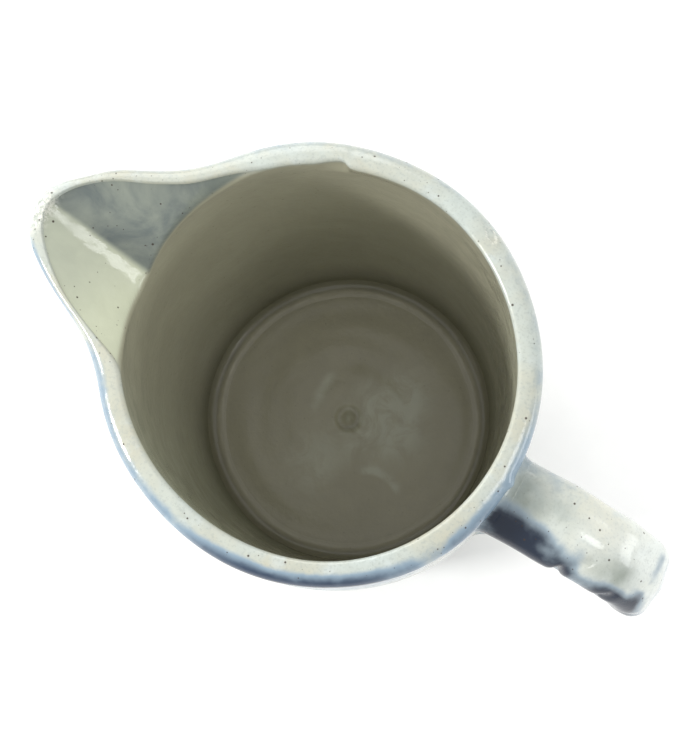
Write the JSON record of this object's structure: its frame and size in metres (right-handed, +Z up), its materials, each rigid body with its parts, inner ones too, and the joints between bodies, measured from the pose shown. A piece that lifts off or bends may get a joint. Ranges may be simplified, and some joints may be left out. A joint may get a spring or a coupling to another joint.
{
  "type": "stoneware pitcher",
  "caption": "Barrel-bodied salt-glazed stoneware pitcher with a rolled rim, an applied beak spout and a pulled strap handle with cobalt washes.",
  "frame": {"origin": "centre of the flat resting face under the body's axis", "axes": "+Z up along the body's axis, +X towards the spout, handle towards -X"},
  "size_m": [0.2266, 0.1414, 0.1785],
  "materials": {
    "salt_glaze_grey": "glossy",
    "salt_glaze_cobalt": "glossy",
    "floor_glaze": "glossy"
  },
  "bodies": {
    "root": {"floor_disc": "floor_glaze", "floor_seam_coil": "floor_glaze", "body_wall": "salt_glaze_grey", "spout": "salt_glaze_grey", "spout_lute": "salt_glaze_grey", "handle": "salt_glaze_cobalt", "handle_upper_lute": "salt_glaze_cobalt", "handle_lower_lute": "salt_glaze_cobalt"}
  },
  "joints": []
}
